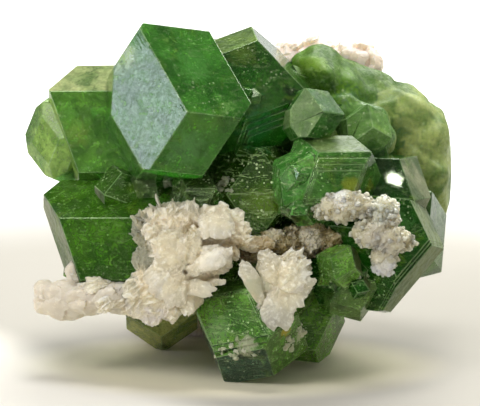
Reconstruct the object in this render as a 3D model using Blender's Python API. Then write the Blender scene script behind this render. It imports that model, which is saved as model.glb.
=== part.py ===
"""Demantoid garnet specimen: green garnets grown together, with pale minerals on them.

Metres, +Z up. The specimen stands on z = 0 and its front looks along -Y. Every garnet is a
rhombic dodecahedron whose twelve faces keep their directions, while each face may lie nearer
to the middle or farther from it, as they do in a real crystal. Sizes below are millimetres.
"""

import math
from collections import namedtuple

import bmesh
import bpy
from mathutils import Euler, Matrix, Vector, noise

MM = 0.001
SHIFT = Vector((-0.14, -1.8, 0.0)) * MM  # brings the middle of the box onto the origin
FLOOR = Vector((0, 0, 0))
DOWN = Vector((0, 0, -1))
GAP = 0.3 * MM  # left between two minerals that touch
BLANK = 30.0 * MM  # the cube that a crystal is cut from
WELD = 0.004 * MM
TERRACE_INSET = 0.035  # keeps the sides of a terrace off the faces under them

# The twelve faces of a crystal, in its own axes: front is -Y, right is +X, and the long
# diagonal of the front rhombus is Z.
SIDE = math.sqrt(0.5)
FACES = {
    "front": (0, -1, 0),
    "back": (0, 1, 0),
    "top": (0, 0, 1),
    "bottom": (0, 0, -1),
    "up_right": (SIDE, -0.5, 0.5),
    "low_right": (SIDE, -0.5, -0.5),
    "up_left": (-SIDE, -0.5, 0.5),
    "low_left": (-SIDE, -0.5, -0.5),
    "back_up_right": (SIDE, 0.5, 0.5),
    "back_low_right": (SIDE, 0.5, -0.5),
    "back_up_left": (-SIDE, 0.5, 0.5),
    "back_low_left": (-SIDE, 0.5, -0.5),
}

Garnet = namedtuple("Garnet", "at looks roll size faces trims rounding steps")


def garnet(at, looks, roll, size, faces=None, trims=None, rounding=0.0, steps=()):
    """One crystal. looks is the azimuth and elevation that its front face looks to, roll turns
    that face's long diagonal to the left of upright, size is the distance from the middle to
    each face, faces gives other distances, trims the faces that cut an edge between two
    others, rounding cuts all edges at that many times size, and steps are growth terraces:
    (face, edge face, count, rise, tread)."""
    return Garnet(at, looks, roll, size, faces or {}, trims or {}, rounding, steps)


GARNETS = {
    # the large one, high on the left, with the broad bright rhombus
    "high_left": garnet((-4.5, -2.6, 18.6), (-31, 18), 7, 5.0, dict(
        front=4.8, top=5.2, up_right=4.6, low_right=5.7, low_left=4.5, back_up_right=4.3,
        back_low_right=4.2, back=5.2), trims={("up_left", "low_left"): 4.55}),
    "left": garnet((-8.0, 2.2, 16.7), (-20, 8), 59, 4.7, dict(
        front=3.3, top=5.0, up_right=3.6, up_left=4.5, low_left=4.6, back_up_right=3.2,
        back_low_left=2.8)),
    "far_left": garnet((-11.8, 3.9, 15.2), (-35, 5), 13, 3.05, rounding=1.03),
    "low_left": garnet((-8.2, -2.0, 9.0), (-20, 10), 59, 4.2, dict(
        front=4.1, top=6.2, up_right=3.6, up_left=4.0, low_right=5.6, back_up_right=3.9)),
    "peak": garnet((0.7, 1.4, 18.0), (16, 31), 72, 5.0, dict(
        front=4.7, up_right=4.9, low_right=3.8, low_left=4.1, back_up_right=3.7),
        steps=(("low_left", "front", 3, 0.16, 0.3),)),
    "middle": garnet((0.8, -2.0, 12.7), (9, 6), -2, 3.2),
    "right": garnet((8.4, -3.5, 9.1), (23, 10), -12, 4.4, dict(
        front=4.6, top=3.4, up_right=4.8, up_left=3.7, low_right=3.9, low_left=2.7,
        back_low_right=4.0), steps=(("low_right", "front", 2, 0.14, 0.25),)),
    "right_shoulder": garnet((10.1, -2.0, 12.5), (-2, 37), -127, 2.6, dict(
        up_right=2.7, up_left=2.4, low_left=2.5)),
    "table": garnet((6.4, -4.1, 13.7), (7, 18), -56, 3.0, dict(
        front=2.8, top=2.9, up_right=2.8, up_left=2.9, back_up_left=2.6),
        steps=(("front", "up_left", 3, 0.12, 0.32),)),
    "sparkling": garnet((4.4, -4.8, 13.7), (-12, 18), -27, 2.1),
    "splinter": garnet((4.9, -2.7, 18.0), (-16, 20), 6, 1.7, dict(front=1.6, low_left=2.0),
                       trims={("up_left", "low_left"): 1.8, ("up_right", "low_right"): 1.95}),
    "wedge": garnet((8.7, -0.4, 16.6), (-20, 29), -13, 1.8),
    "back_dome": garnet((6.4, 4.6, 18.3), (-5, 64), -82, 2.9, rounding=1.05),
    "back_dome_right": garnet((8.4, 7.6, 16.1), (0, 59), -90, 3.2, rounding=1.05),
    "far_right": garnet((10.4, 6.0, 13.2), (29, 47), -130, 4.5, rounding=1.02),
    "dark_left": garnet((-8.1, -2.2, 12.3), (13, 29), -78, 1.7),
    "dark_middle": garnet((-6.2, -2.0, 12.5), (-18, 17), -19, 1.9),
    "ledge": garnet((-2.9, -4.8, 12.7), (-3, 4), -54, 1.6,
                    steps=(("front", "up_left", 2, 0.1, 0.25),)),
    "foot": garnet((0.9, -5.7, 3.9), (-31, 14), 71, 3.0, dict(
        front=2.7, up_right=3.3, up_left=3.3, low_right=3.3, low_left=3.1, back_low_left=3.2),
        steps=(("front", "low_left", 2, 0.12, 0.3),)),
    "foot_right": garnet((4.1, -0.7, 3.3), (10, 11), -63, 2.8, dict(
        front=2.4, up_right=2.6, low_right=3.0, back_low_right=2.1)),
    "foot_left": garnet((-5.5, 3.9, 3.2), (0, 0), -90, 2.5),
    "bud": garnet((6.9, -6.6, 8.3), (6, 24), -26, 1.35),
    "bud_low": garnet((7.5, -5.2, 6.6), (12, 0), -72, 1.9),
    # behind and under the ones in front
    "heart": garnet((0.0, 1.5, 9.5), (20, 15), 30, 5.2),
    "heart_left": garnet((-5.0, 2.8, 9.5), (-40, 10), 10, 4.6),
    "heart_right": garnet((6.0, 2.0, 11.5), (35, 5), -20, 4.8),
    "heart_low": garnet((1.5, -1.0, 6.2), (5, 0), 0, 4.0),
    "rear_left": garnet((-7.5, 7.6, 12.2), (-150, 20), 25, 3.9, rounding=1.08),
    "rear_high": garnet((-2.2, 6.6, 17.4), (170, 25), -40, 4.0),
    "rear_low_left": garnet((-8.8, 6.0, 6.8), (-115, -5), 60, 3.0),
    "rear_right": garnet((8.2, 9.2, 10.6), (130, 10), 15, 3.6),
    "rear_low_right": garnet((6.0, 5.2, 5.6), (150, -10), 35, 3.3, rounding=1.06),
    "right_under": garnet((10.6, 1.4, 9.2), (70, 0), 20, 3.3),
}

SEED = 7
SMALL_LUMP = 0.95  # lumps no wider than this get fewer facets
BUDS = (
    # small garnets in the corners between the large ones: middle, spread, count, size
    ((4.3, -6.2, 13.4), (0.9, 0.5, 1.5), 6, 0.75),
    ((-2.0, -4.3, 13.6), (2.6, 0.5, 0.5), 6, 0.7),
    ((7.2, -6.6, 7.3), (1.2, 0.5, 1.1), 5, 0.6),
    ((2.0, -5.0, 3.6), (1.4, 0.6, 1.0), 3, 0.65),
    ((0.6, -3.4, 17.6), (0.8, 0.8, 2.2), 4, 0.6),
    ((-3.5, 9.0, 12.0), (3.0, 1.0, 3.5), 5, 0.95),
    ((9.5, 4.5, 16.5), (1.6, 2.2, 1.2), 4, 0.9),
)

# Lumps of the pale minerals: middle, half sizes, turn about X, Y and Z in degrees.
WHITE = (
    ((-4.2, -6.4, 10.6), (2.4, 1.3, 1.9), (0, 0, 0)),
    ((-6.0, -6.5, 10.9), (1.4, 0.8, 1.4), (0, 20, 0)),
    ((-2.8, -6.2, 11.6), (1.9, 0.8, 0.9), (0, 0, 0)),
    ((-0.6, -6.8, 10.4), (1.6, 0.8, 1.1), (0, 0, 0)),
    ((1.2, -6.3, 9.8), (1.3, 0.7, 0.6), (0, 10, 0)),
    ((-5.0, -7.0, 8.8), (2.0, 1.0, 1.5), (0, 0, 0)),
    ((-6.0, -6.9, 7.6), (2.5, 1.1, 1.2), (0, 0, 0)),
    ((-3.4, -7.1, 7.8), (1.6, 0.9, 1.2), (0, 0, 0)),
    ((-8.2, -6.4, 6.1), (2.4, 1.1, 1.2), (0, 8, 0)),
    ((-6.0, -6.3, 5.5), (2.5, 1.0, 0.95), (0, 0, 0)),
    ((-10.2, -5.9, 5.9), (2.0, 0.9, 1.15), (0, 0, 0)),
    ((-12.0, -5.3, 5.6), (2.1, 1.0, 1.4), (0, 0, 0)),
    ((-13.4, -5.1, 5.4), (1.0, 0.8, 0.85), (0, 0, 0)),
    ((-13.5, -4.9, 6.3), (0.85, 0.7, 0.6), (0, 0, 0)),
    ((-11.5, -4.6, 7.3), (0.5, 0.6, 0.9), (0, 0, 0)),
    ((-7.5, -5.5, 3.9), (0.55, 0.5, 0.6), (0, 0, 0)),
    # plates that stand out at the front
    ((-1.6, -7.4, 11.3), (1.4, 0.5, 1.1), (16, 0, 14)),
    ((-2.0, -8.1, 9.8), (1.7, 0.5, 0.8), (20, -18, 0)),
    ((-4.6, -7.6, 10.8), (1.2, 0.5, 1.9), (8, 10, -12)),
    ((-5.5, -7.8, 9.2), (1.3, 0.5, 1.5), (10, -14, -20)),
    ((-3.8, -8.2, 9.0), (1.4, 0.5, 1.1), (24, 10, 6)),
    ((-2.9, -7.8, 7.0), (1.0, 0.6, 0.8), (20, 10, 0)),
    ((-3.7, -7.1, 5.7), (0.7, 0.6, 0.7), (0, 0, 0)),
    ((-6.2, -7.9, 7.2), (1.7, 0.6, 1.1), (20, 0, 0)),
    ((-8.2, -7.3, 6.3), (1.4, 0.6, 1.0), (14, 8, 0)),
    # blades round the rim
    ((-7.0, -5.8, 11.8), (0.3, 0.5, 1.0), (0, 35, 0)),
    ((-7.2, -6.2, 10.9), (0.3, 0.5, 0.9), (0, -70, 0)),
    ((-6.9, -6.6, 9.8), (0.3, 0.5, 0.9), (0, -90, 0)),
    ((-6.6, -6.9, 8.8), (0.3, 0.5, 0.9), (0, -110, 0)),
    ((-5.9, -5.9, 12.0), (0.3, 0.5, 0.9), (0, -28, 0)),
    ((-4.9, -5.9, 12.4), (0.3, 0.5, 0.9), (0, -12, 0)),
    ((-4.0, -6.1, 12.5), (0.3, 0.5, 0.8), (0, 4, 0)),
    ((-3.2, -6.1, 12.3), (0.3, 0.5, 0.8), (0, 12, 0)),
    ((-2.2, -6.3, 12.2), (0.3, 0.5, 0.7), (0, -4, 0)),
    ((-1.2, -6.4, 12.2), (0.3, 0.5, 0.7), (0, 12, 0)),
    ((-0.2, -6.4, 11.6), (0.3, 0.5, 0.8), (0, 38, 0)),
    ((0.5, -6.3, 10.9), (0.3, 0.5, 0.7), (0, 58, 0)),
)
FAN = (
    ((3.3, -8.1, 7.4), (1.6, 0.5, 1.6), (22, 0, 10)),
    ((2.6, -8.3, 5.6), (1.1, 0.45, 1.5), (8, 6, 0)),
    ((0.9, -7.9, 7.3), (0.65, 0.45, 1.6), (10, -24, -16)),
    ((4.1, -7.7, 7.9), (0.9, 0.4, 1.2), (30, 24, 34)),
    ((4.0, -7.1, 8.6), (0.9, 0.5, 0.8), (40, 30, 30)),
    ((2.5, -7.2, 8.6), (1.4, 0.6, 0.8), (44, 0, 0)),
    ((1.8, -8.3, 6.4), (0.6, 0.4, 1.1), (6, -16, -30)),
    ((3.0, -8.7, 6.9), (1.0, 0.35, 0.9), (30, 0, 0)),
)
TAN = (
    ((1.1, -5.4, 9.2), (1.4, 0.9, 0.9), (0, 0, 0)),
    ((3.0, -5.3, 9.7), (1.6, 0.9, 1.0), (0, 0, 0)),
    ((4.7, -5.3, 9.8), (1.5, 0.9, 1.1), (0, -12, 0)),
    ((6.2, -5.6, 9.9), (1.2, 0.8, 0.9), (0, 0, 0)),
    ((4.9, -5.6, 10.8), (0.8, 0.6, 0.7), (0, 0, 0)),
)
GREY = (
    ((6.9, -7.4, 12.7), (1.5, 0.9, 1.1), (0, 0, 0)),
    ((5.8, -7.0, 12.5), (1.0, 0.8, 0.8), (0, 0, 0)),
    ((8.2, -7.5, 12.7), (1.1, 0.7, 0.8), (0, 0, 0)),
    ((9.8, -7.7, 12.1), (1.1, 0.8, 1.3), (0, 0, 0)),
    ((9.1, -8.1, 10.9), (1.3, 0.8, 1.0), (0, 0, 0)),
    ((10.3, -8.2, 10.5), (1.1, 0.8, 1.0), (0, 0, 0)),
    ((9.8, -8.2, 9.0), (0.9, 0.7, 1.1), (0, 0, 0)),
    ((11.2, -7.8, 10.4), (0.7, 0.6, 0.7), (0, 0, 0)),
    ((8.0, -7.6, 11.6), (1.0, 0.7, 0.8), (0, 0, 0)),
)
MATRIX = (
    ((0.2, 9.4, 3.4), (6.6, 3.6, 5.6), (0, 0, 0)),
    ((1.6, 9.2, 9.2), (6.4, 3.0, 4.6), (0, 10, 8)),
    ((4.4, 8.6, 14.6), (4.8, 2.8, 4.4), (0, -18, -10)),
    ((-3.6, 9.4, 8.4), (3.8, 2.6, 3.8), (0, 20, 0)),
    ((3.5, 8.6, 19.2), (2.6, 1.5, 1.9), (0, 12, 0)),
    ((5.6, 8.8, 19.6), (2.2, 1.4, 1.3), (0, 0, 0)),
    ((7.4, 8.8, 19.3), (2.0, 1.3, 1.2), (0, 8, 0)),
    ((8.6, 8.6, 18.8), (1.3, 1.1, 1.4), (0, 0, 0)),
    ((5.3, 8.8, 20.5), (0.8, 0.7, 0.7), (0, 0, 0)),
)
# Flat breaks in the rock: a point on each, and the way it faces.
BREAKS = (
    ((0.0, 12.4, 6.0), (0.05, 1.0, 0.10)),
    ((-5.4, 11.2, 6.0), (-0.75, 0.65, 0.10)),
    ((6.6, 10.8, 6.0), (0.80, 0.60, -0.15)),
    ((2.0, 11.6, 14.0), (-0.10, 0.90, 0.35)),
    ((-6.0, 9.0, 2.0), (-0.90, 0.10, -0.45)),
    ((6.2, 8.0, 1.6), (0.85, 0.10, -0.50)),
    ((-3.4, 10.0, 12.2), (-0.62, 0.35, 0.70)),
)


def new_object(name, bm, collection, hidden=False):
    mesh = bpy.data.meshes.new(name)
    bm.to_mesh(mesh)
    bm.free()
    obj = bpy.data.objects.new(name, mesh)
    collection.objects.link(obj)
    if hidden:
        obj.hide_render = True
        obj.display_type = "WIRE"
    return obj


def material(name, colour, roughness, transmission=0.0):
    mat = bpy.data.materials.new(name)
    mat.use_nodes = True
    mat.diffuse_color = (*colour, 1)
    shader = mat.node_tree.nodes["Principled BSDF"]
    shader.inputs["Base Color"].default_value = (*colour, 1)
    shader.inputs["Roughness"].default_value = roughness
    shader.inputs["Transmission Weight"].default_value = transmission
    return mat


def turn_of(looks, roll):
    azimuth, elevation = (math.radians(angle) for angle in looks)
    return (
        Matrix.Rotation(azimuth, 3, "Z")
        @ Matrix.Rotation(-elevation, 3, "X")
        @ Matrix.Rotation(-math.radians(roll), 3, "Y")
    )


def neighbours():
    """Every pair of faces that share an edge of the regular dodecahedron."""
    names = list(FACES)
    for i, first in enumerate(names):
        for second in names[i + 1 :]:
            if Vector(FACES[first]).dot(Vector(FACES[second])) > 0.4:
                yield first, second


def planes_of(crystal):
    """How far out each face lies, and each face that trims an edge, in millimetres."""
    distances = dict.fromkeys(FACES, crystal.size)
    distances.update(crystal.faces)
    trims = dict(crystal.trims)
    if crystal.rounding:
        for pair in neighbours():
            trims.setdefault(pair, crystal.size * crystal.rounding)
    return distances, trims


def cut_crystal(crystal, distances, trims, grow):
    """A cube cut down to the crystal's faces. grow, in metres, moves every face outwards."""
    bm = bmesh.new()
    bmesh.ops.create_cube(bm, size=BLANK)
    cuts = [(Vector(FACES[name]), distance) for name, distance in distances.items()]
    for (first, second), distance in trims.items():
        cuts.append(((Vector(FACES[first]) + Vector(FACES[second])).normalized(), distance))
    for normal, distance in cuts:
        whole = bm.verts[:] + bm.edges[:] + bm.faces[:]
        point = normal * (distance * MM + grow)
        bmesh.ops.bisect_plane(bm, geom=whole, plane_co=point, plane_no=normal, clear_outer=True)
        rim = [edge for edge in bm.edges if edge.is_boundary]
        bmesh.ops.holes_fill(bm, edges=rim, sides=0)
        bmesh.ops.remove_doubles(bm, verts=bm.verts[:], dist=WELD)
    bmesh.ops.recalc_face_normals(bm, faces=bm.faces[:])
    place = Matrix.Translation(Vector(crystal.at) * MM + SHIFT)
    bm.transform(place @ turn_of(crystal.looks, crystal.roll).to_4x4())
    return bm


def crystal_meshes(crystal, grow=0.0):
    """The crystal itself, then one thinner crystal for each terrace that stands on a face."""
    distances, trims = planes_of(crystal)
    yield cut_crystal(crystal, distances, trims, grow)
    for face, edge_face, count, rise, tread in crystal.steps:
        for level in range(1, count + 1):
            drawn_in = level * TERRACE_INSET
            terrace = {name: far - drawn_in for name, far in distances.items()}
            terrace[face] = distances[face] + level * rise
            terrace[edge_face] = distances[edge_face] - level * tread
            edges = {pair: far - drawn_in for pair, far in trims.items()}
            yield cut_crystal(crystal, terrace, edges, grow)


def small_garnets():
    """The small crystals in the corners, each turned its own way."""
    for index, (middle, spread, count, size) in enumerate(BUDS):
        for number in range(count):
            place = noise.random_unit_vector()
            at = [m + s * p for m, s, p in zip(middle, spread, place)]
            turned = noise.random_unit_vector()
            looks = (math.degrees(math.atan2(turned.x, -turned.y)), 50 * turned.z)
            grown = size * (0.7 + 0.6 * noise.random())
            yield f"bud_{index}_{number}", garnet(at, looks, 180 * place.x, grown)


def grains_on(lumps, count, size):
    """Small blocky grains over the lumps, on the side that looks to the front."""
    for number in range(count):
        middle, half, _turn = lumps[number % len(lumps)]
        way = noise.random_unit_vector()
        way.y = -abs(way.y)
        at = [m + 0.9 * h * w for m, h, w in zip(middle, half, way)]
        grown = size * (0.7 + 0.6 * noise.random())
        turn = [180 * part for part in noise.random_unit_vector()]
        yield at, (grown, 0.7 * grown, 0.9 * grown), turn


def lump_mesh(lump, roughness, grow=0.0):
    """An uneven lump. grow, in metres, makes it that much larger all round."""
    middle, half, turn = lump
    bm = bmesh.new()
    detail = 2 if max(half) > SMALL_LUMP else 1
    bmesh.ops.create_icosphere(bm, subdivisions=detail, radius=1.0)
    offset = Vector(middle)
    for vert in bm.verts:
        wave = noise.fractal(vert.co * 1.7 + offset, 0.9, 2.1, 3)
        vert.co *= 1 + roughness * wave
    size = Matrix.Diagonal((*(side * MM + grow for side in half), 1))
    angles = Euler([math.radians(angle) for angle in turn])
    place = Matrix.Translation(Vector(middle) * MM + SHIFT)
    bm.transform(place @ angles.to_matrix().to_4x4() @ size)
    return bm


def apply_boolean(target, other, operation):
    """Joins or cuts with the EXACT solver and keeps the result as the target's own mesh."""
    modifier = target.modifiers.new("join", "BOOLEAN")
    modifier.operation = operation
    modifier.solver = "EXACT"
    modifier.object = other
    graph = bpy.context.evaluated_depsgraph_get()
    mesh = bpy.data.meshes.new_from_object(target.evaluated_get(graph))
    target.modifiers.remove(modifier)
    old = target.data
    target.data = mesh
    bpy.data.meshes.remove(old)


def join_all(name, meshes, collection, hidden=False):
    """One closed solid from many that overlap."""
    meshes = iter(meshes)
    target = new_object(name, next(meshes), collection, hidden)
    for bm in meshes:
        other = new_object("piece", bm, collection, hidden=True)
        apply_boolean(target, other, "UNION")
        data = other.data
        bpy.data.objects.remove(other)
        bpy.data.meshes.remove(data)
    return target


def islands_of(bm):
    left = set(bm.verts)
    while left:
        island = set()
        edge_of_search = [left.pop()]
        while edge_of_search:
            vert = edge_of_search.pop()
            island.add(vert)
            for edge in vert.link_edges:
                other = edge.other_vert(vert)
                if other in left:
                    left.remove(other)
                    edge_of_search.append(other)
        yield island


def keep_largest(obj):
    """Drops crumbs and sealed cavities: only the widest shell stays."""
    bm = bmesh.new()
    bm.from_mesh(obj.data)
    bmesh.ops.remove_doubles(bm, verts=bm.verts[:], dist=WELD)
    bmesh.ops.dissolve_degenerate(bm, edges=bm.edges[:], dist=WELD)
    shells = sorted(islands_of(bm), key=lambda shell: spread_of(shell), reverse=True)
    loose = [vert for shell in shells[1:] for vert in shell]
    bmesh.ops.delete(bm, geom=loose, context="VERTS")
    bmesh.ops.triangulate(bm, faces=bm.faces[:])
    bm.to_mesh(obj.data)
    bm.free()


def spread_of(verts):
    low = Vector([min(vert.co[axis] for vert in verts) for axis in range(3)])
    high = Vector([max(vert.co[axis] for vert in verts) for axis in range(3)])
    return (high - low).length


def cut_flat(obj, point, facing):
    """Cuts the solid off flat through this point; facing is the way the new face looks."""
    bm = bmesh.new()
    bm.from_mesh(obj.data)
    whole = bm.verts[:] + bm.edges[:] + bm.faces[:]
    bmesh.ops.bisect_plane(bm, geom=whole, plane_co=point, plane_no=facing, clear_outer=True)
    bmesh.ops.holes_fill(bm, edges=[edge for edge in bm.edges if edge.is_boundary], sides=0)
    bm.to_mesh(obj.data)
    bm.free()


def make_garnets(parts, cutters):
    noise.seed_set(SEED)
    crystals = dict(GARNETS)
    crystals.update(small_garnets())
    grown = (bm for crystal in crystals.values() for bm in crystal_meshes(crystal))
    cluster = join_all("garnet_cluster", grown, parts)
    wider = (bm for crystal in crystals.values() for bm in crystal_meshes(crystal, GAP))
    clearance = join_all("garnet_clearance", wider, cutters, hidden=True)
    cut_flat(cluster, FLOOR, DOWN)
    keep_largest(cluster)
    cluster.data.materials.append(material("green_garnet", (0.05, 0.22, 0.03), 0.08, 0.8))
    return clearance


def make_mineral(mineral, taken, parts, cutters):
    """Lumps joined, cut clear of what is there already and cut flat at the floor. What they
    take, widened by the gap, is added to taken for the minerals that come after."""
    name, lumps, roughness, breaks, look = mineral
    solids = (lump_mesh(lump, roughness) for lump in lumps)
    solid = join_all(name, solids, parts)
    for point, facing in breaks:
        cut_flat(solid, Vector(point) * MM + SHIFT, Vector(facing))
    for cutter in taken:
        apply_boolean(solid, cutter, "DIFFERENCE")
    cut_flat(solid, FLOOR, DOWN)
    keep_largest(solid)
    solid.data.materials.clear()
    solid.data.materials.append(look)
    wider = (lump_mesh(lump, roughness, GAP) for lump in lumps)
    taken.append(join_all(name + "_clearance", wider, cutters, hidden=True))


def main():
    for obj in list(bpy.data.objects):
        bpy.data.objects.remove(obj)
    parts = bpy.data.collections.new("demantoid_specimen")
    cutters = bpy.data.collections.new("cutters")
    cutters.hide_render = True
    for collection in (parts, cutters):
        bpy.context.scene.collection.children.link(collection)
    taken = [make_garnets(parts, cutters)]
    grey_grains = tuple(grains_on(GREY, 20, 0.55))
    tan_grains = tuple(grains_on(TAN, 12, 0.5))
    cream = material("white_mineral", (0.82, 0.78, 0.70), 0.5)
    tan = material("tan_crust", (0.35, 0.25, 0.14), 0.8)
    grey = material("grey_druse", (0.62, 0.58, 0.52), 0.6)
    pale = material("matrix_rock", (0.78, 0.72, 0.62), 0.7)
    minerals = (
        ("white_mineral", WHITE, 0.22, (), cream),
        ("petal_fan", FAN, 0.14, (), cream),
        ("grey_druse", GREY + grey_grains, 0.3, (), grey),
        ("tan_crust", TAN + tan_grains, 0.3, (), tan),
        ("back_matrix", MATRIX, 0.3, BREAKS, pale),
    )
    for mineral in minerals:
        make_mineral(mineral, taken, parts, cutters)


main()
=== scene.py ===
"""Looks of the demantoid garnet specimen: green crystals, pale minerals, floor, light, camera."""

import math

import bmesh
import bpy
import numpy as np
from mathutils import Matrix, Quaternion, Vector, kdtree, noise
from mathutils.bvhtree import BVHTree


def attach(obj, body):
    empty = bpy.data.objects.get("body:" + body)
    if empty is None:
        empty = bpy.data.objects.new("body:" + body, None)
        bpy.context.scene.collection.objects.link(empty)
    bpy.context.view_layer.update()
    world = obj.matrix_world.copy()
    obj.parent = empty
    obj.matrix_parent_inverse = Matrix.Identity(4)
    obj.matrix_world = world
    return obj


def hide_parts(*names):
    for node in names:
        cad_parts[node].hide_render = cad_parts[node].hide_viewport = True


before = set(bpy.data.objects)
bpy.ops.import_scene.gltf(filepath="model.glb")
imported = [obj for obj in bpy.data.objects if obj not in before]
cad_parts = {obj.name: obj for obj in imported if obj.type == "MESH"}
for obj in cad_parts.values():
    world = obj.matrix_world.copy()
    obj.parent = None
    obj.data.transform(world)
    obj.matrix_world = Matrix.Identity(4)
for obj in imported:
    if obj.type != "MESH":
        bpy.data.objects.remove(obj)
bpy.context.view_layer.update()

MM = 0.001
# Added to the places in the tables below, in millimetres, it centres the specimen.
SHIFT = Vector((-0.14, -1.8, 0.0))
# noise_vector gives other directions in every run unless its seed is set.
NOISE_SEED = 4
noise.seed_set(NOISE_SEED)


# ---------------------------------------------------------------- shader maths

# How strongly noise breaks up a zone's rim, and the share of its reach where it is full.
ZONE_RAGGED = 3.4
ZONE_CORE = 0.5


class Out:
    """A node's output. Arithmetic on it adds Math nodes to its tree."""

    def __init__(self, tree, socket):
        self.tree = tree
        self.socket = socket

    def math(self, operation, *values):
        settings = {"operation": operation}
        return self.tree.node("ShaderNodeMath", settings, dict(enumerate(values)))

    def __add__(self, other):
        return self.math("ADD", self, other)

    def __sub__(self, other):
        return self.math("SUBTRACT", self, other)

    def __rsub__(self, other):
        return self.math("SUBTRACT", other, self)

    def __mul__(self, other):
        return self.math("MULTIPLY", self, other)

    __radd__ = __add__
    __rmul__ = __mul__


class Tree:
    """The nodes of a material, of the world or of a Geometry Nodes group."""

    def __init__(self, holder):
        self.nodes = holder.nodes
        self.links = holder.links
        self.nodes.clear()

    def node(self, kind, settings=None, sockets=None, out=0):
        """One output of a new node, a list of them where out is a tuple, or nothing where it
        is None. sockets: the value or output for each, or a list of outputs."""
        made = self.nodes.new(kind)
        for key, value in (settings or {}).items():
            setattr(made, key, value)
        for key, given in (sockets or {}).items():
            for value in given if isinstance(given, list) else [given]:
                if isinstance(value, Out):
                    self.links.new(value.socket, made.inputs[key])
                else:
                    made.inputs[key].default_value = value
        if out is None:
            return None
        if isinstance(out, tuple):
            return [Out(self, made.outputs[key]) for key in out]
        return Out(self, made.outputs[out])

    def attribute(self, name, out="Fac"):
        return self.node("ShaderNodeAttribute", {"attribute_name": name}, out=out)

    def mix(self, factor, a, b, blend="MIX"):
        """Two colours mixed. Each is an output or three numbers."""
        a, b = ((*colour, 1) if isinstance(colour, tuple) else colour for colour in (a, b))
        settings = {"data_type": "RGBA", "blend_type": blend}
        return self.node("ShaderNodeMix", settings, {0: factor, 6: a, 7: b}, out=2)

    def step(self, value, low, high):
        """0 at low and past it, 1 at high and past it, smooth between. Low may be larger."""
        settings = {"interpolation_type": "SMOOTHSTEP"}
        return self.node("ShaderNodeMapRange", settings, {0: value, 1: low, 2: high})

    def measure(self, operation, a, b=None):
        """A number from one or two vectors: their DISTANCE or DOT_PRODUCT, or a LENGTH."""
        sockets = {0: a} if b is None else {0: a, 1: b}
        return self.node("ShaderNodeVectorMath", {"operation": operation}, sockets, out=1)

    def place(self, stretch=(1, 1, 1), turn=(0, 0, 0)):
        """Object coordinates in millimetres, stretched and then turned."""
        return self.node("ShaderNodeMapping", {"vector_type": "POINT"}, {
            0: self.node("ShaderNodeTexCoord", out="Object"),
            2: turn,
            3: tuple(share / MM for share in stretch)})

    def noise(self, where, scale, detail, rough, distort=0.0):
        return self.node("ShaderNodeTexNoise", {}, {
            "Vector": where, "Scale": scale, "Detail": detail, "Roughness": rough,
            "Distortion": distort})

    def bump(self, height, distance, strength, normal=None):
        """A normal bent by a height. distance: millimetres. normal: another bump's."""
        sockets = {"Height": height, "Distance": distance * MM, "Strength": strength}
        if normal:
            sockets["Normal"] = normal
        return self.node("ShaderNodeBump", {}, sockets)

    def zoned(self, where, colour, zones, ragged, strength):
        """The colour with tinted zones laid over it. zones: middle, reach and colour of each.
        ragged: a noise that breaks up their rims."""
        for middle, reach, tint in zones:
            away = self.measure("DISTANCE", where, tuple(Vector(middle) + SHIFT))
            rim = away + (ragged - 0.5) * (ZONE_RAGGED * reach)
            cover = self.step(rim, reach, reach * ZONE_CORE)
            colour = self.mix(cover * strength, colour, tint)
        return colour


def new_material(name, preview):
    """A new material and its empty tree. preview: its colour in the viewport."""
    material = bpy.data.materials.new(name)
    material.use_nodes = True
    material.diffuse_color = (*preview, 1)
    return material, Tree(material.node_tree)


# ---------------------------------------------------------------- meshes

EASE = 1.2  # millimetres over which a skin is eased in
SKIN_REACH = (15.0, 11.35)  # millimetres that a skin may stand out along x and y
LOWEST = 0.02  # millimetres above the floor
SWELL = 0.16  # how uneven a lump is, as a share of its size
# Smooth places among the fibres, in the frame's own x and z, how far they reach, and the
# share of the fibres' height that is left in their middles.
CALM = ((-1.7, 11.4), (-2.3, 9.4), (-4.9, 10.0), (-5.3, 7.2), (-2.9, 7.2), (1.0, 7.4))
CALM_REACH = 1.5
CALM_LEFT = 0.12
# A petal's steps of growth, as shares of the way to its rim, and their depth in millimetres.
GROWTH_STEPS = (0.62, 0.74, 0.85, 0.94)
GROWTH_DEPTH = 0.035
RIM_THINNING = 0.72  # share of its thickness that a petal loses at its rim
BEND = 0.09  # millimetres by which a petal is bent at most


def points_of(mesh):
    """The mesh's points in millimetres, one row each."""
    points = np.empty(len(mesh.vertices) * 3)
    mesh.vertices.foreach_get("co", points)
    return points.reshape(-1, 3) / MM


def set_points(mesh, points):
    """Moves the mesh's points to these places in millimetres."""
    mesh.vertices.foreach_set("co", np.array(points).ravel() * MM)
    mesh.update()


def mesh_object(name, mesh):
    obj = bpy.data.objects.new(name, mesh)
    bpy.context.scene.collection.objects.link(obj)
    return obj


def add_object(name, bm):
    """An object made of this bmesh, which is then freed."""
    mesh = bpy.data.meshes.new(name)
    bm.to_mesh(mesh)
    bm.free()
    return mesh_object(name, mesh)


def soften(obj, times):
    """Adds a modifier that smooths the mesh so many times."""
    modifier = obj.modifiers.new("soften", "SMOOTH")
    modifier.factor = 0.5
    modifier.iterations = times


def baked(obj):
    """The object, with its modifiers turned to a plain mesh."""
    graph = bpy.context.evaluated_depsgraph_get()
    graph.update()
    mesh = bpy.data.meshes.new_from_object(obj.evaluated_get(graph))
    obj.modifiers.clear()
    obj.data = mesh
    mesh.name = obj.name
    return obj


def keep_inside(mesh):
    """Eases in whatever stands out past SKIN_REACH, and lifts what is low off the floor."""
    points = points_of(mesh)
    for axis, limit in enumerate(SKIN_REACH):
        for side in (1, -1):
            over = np.maximum(points[:, axis] * side - (limit - EASE), 0)
            points[:, axis] -= side * (over - EASE * (1 - np.exp(-over / EASE)))
    points[:, 2] = np.maximum(points[:, 2], LOWEST)
    set_points(mesh, points)


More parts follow.
